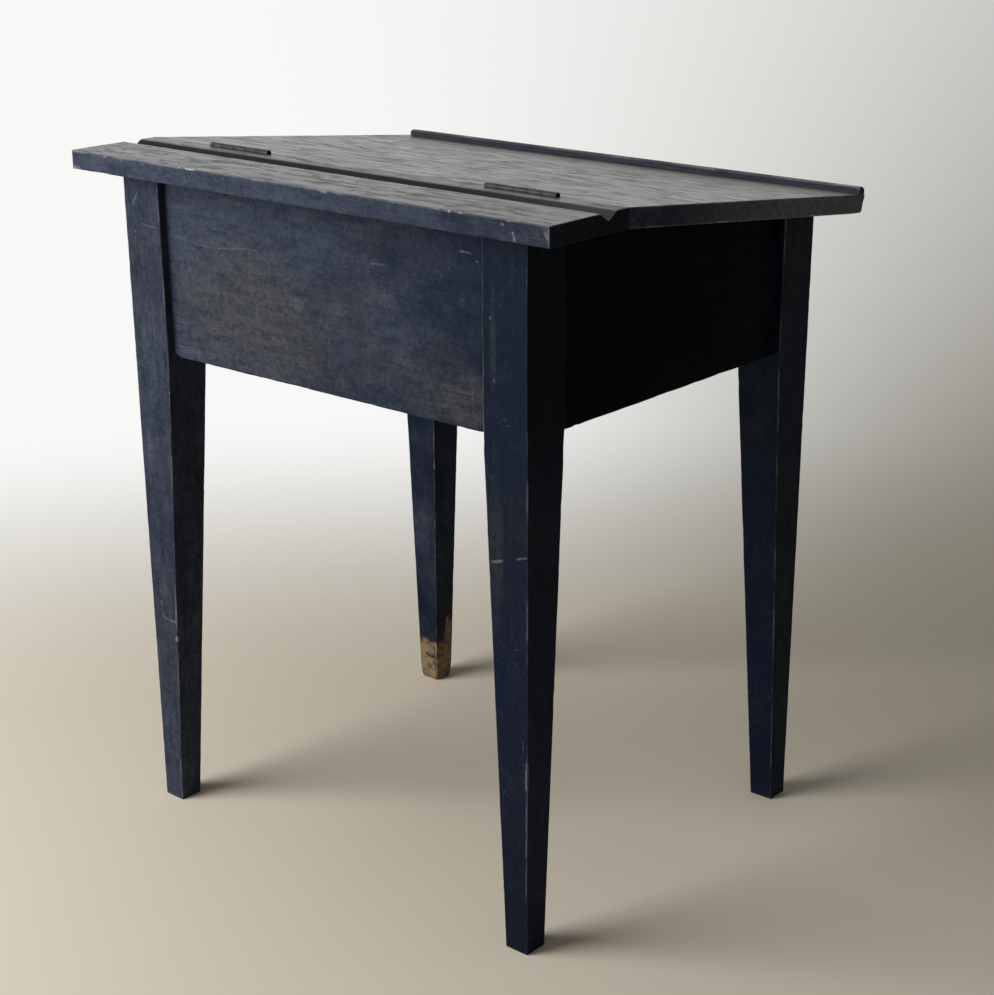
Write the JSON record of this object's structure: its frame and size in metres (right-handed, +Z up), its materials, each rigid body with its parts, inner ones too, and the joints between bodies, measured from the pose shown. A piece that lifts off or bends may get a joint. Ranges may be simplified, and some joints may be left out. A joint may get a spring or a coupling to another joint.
{
  "type": "school desk",
  "caption": "Painted wooden school desk: a level pen board with a pen groove and a sloping lift-up lid on butt hinges, over a deep storage box on tapered square legs.",
  "frame": {"origin": "on the floor, under the middle of the desk's outline", "axes": "+Z up; +Y towards the pen board, away from the pupil; +X towards the pupil's right"},
  "size_m": [0.656, 0.526, 0.7638],
  "materials": {
    "painted_wood": "worn blue-black paint, satin",
    "bare_wood": "bare sawn pine, matt",
    "hinge_iron": "dark, handled iron",
    "fastener_steel": "dull steel"
  },
  "bodies": {
    "carcass": {"leg_back_left": "painted_wood", "leg_back_right": "painted_wood", "leg_front_left": "painted_wood", "leg_front_right": "painted_wood", "panel_back": "painted_wood", "panel_front": "painted_wood", "panel_left": "painted_wood", "panel_right": "painted_wood", "pen_board": "painted_wood", "floor_board_front": "bare_wood", "floor_board_middle": "bare_wood", "floor_board_back": "bare_wood", "floor_cleat_front": "bare_wood", "floor_cleat_back": "bare_wood", "floor_cleat_left": "bare_wood", "floor_cleat_right": "bare_wood", "corner_block_left": "bare_wood", "corner_block_middle": "bare_wood", "corner_block_right": "bare_wood", "hinge_leaf_fixed_left": "hinge_iron", "hinge_leaf_fixed_right": "hinge_iron", "hinge_pin_left": "hinge_iron", "hinge_pin_right": "hinge_iron", "hinge_screw_fixed_left_1": "fastener_steel", "hinge_screw_fixed_left_2": "fastener_steel", "hinge_screw_fixed_left_3": "fastener_steel", "hinge_screw_fixed_right_1": "fastener_steel", "hinge_screw_fixed_right_2": "fastener_steel", "hinge_screw_fixed_right_3": "fastener_steel", "cleat_nail_front_1": "fastener_steel", "cleat_nail_front_2": "fastener_steel", "cleat_nail_back_1": "fastener_steel", "cleat_nail_back_2": "fastener_steel", "cleat_nail_left_1": "fastener_steel", "cleat_nail_left_2": "fastener_steel", "cleat_nail_right_1": "fastener_steel", "cleat_nail_right_2": "fastener_steel"},
    "lid": {"lid_plank_back": "painted_wood", "lid_plank_middle": "painted_wood", "lid_plank_front": "painted_wood", "lid_lip": "painted_wood", "lid_batten_left": "bare_wood", "lid_batten_right": "bare_wood", "batten_screw_left_1": "fastener_steel", "batten_screw_left_2": "fastener_steel", "batten_screw_left_3": "fastener_steel", "batten_screw_right_1": "fastener_steel", "batten_screw_right_2": "fastener_steel", "batten_screw_right_3": "fastener_steel", "hinge_leaf_lid_left": "hinge_iron", "hinge_leaf_lid_right": "hinge_iron", "hinge_screw_lid_left_1": "fastener_steel", "hinge_screw_lid_left_2": "fastener_steel", "hinge_screw_lid_left_3": "fastener_steel", "hinge_screw_lid_right_1": "fastener_steel", "hinge_screw_lid_right_2": "fastener_steel", "hinge_screw_lid_right_3": "fastener_steel"}
  },
  "joints": [
    {"name": "lid_hinge", "type": "hinge", "parent": "carcass", "child": "lid", "pos_m": [0, 0.1506, 0.7605], "axis": [-1, 0, 0], "range_deg": [0, 186]}
  ]
}
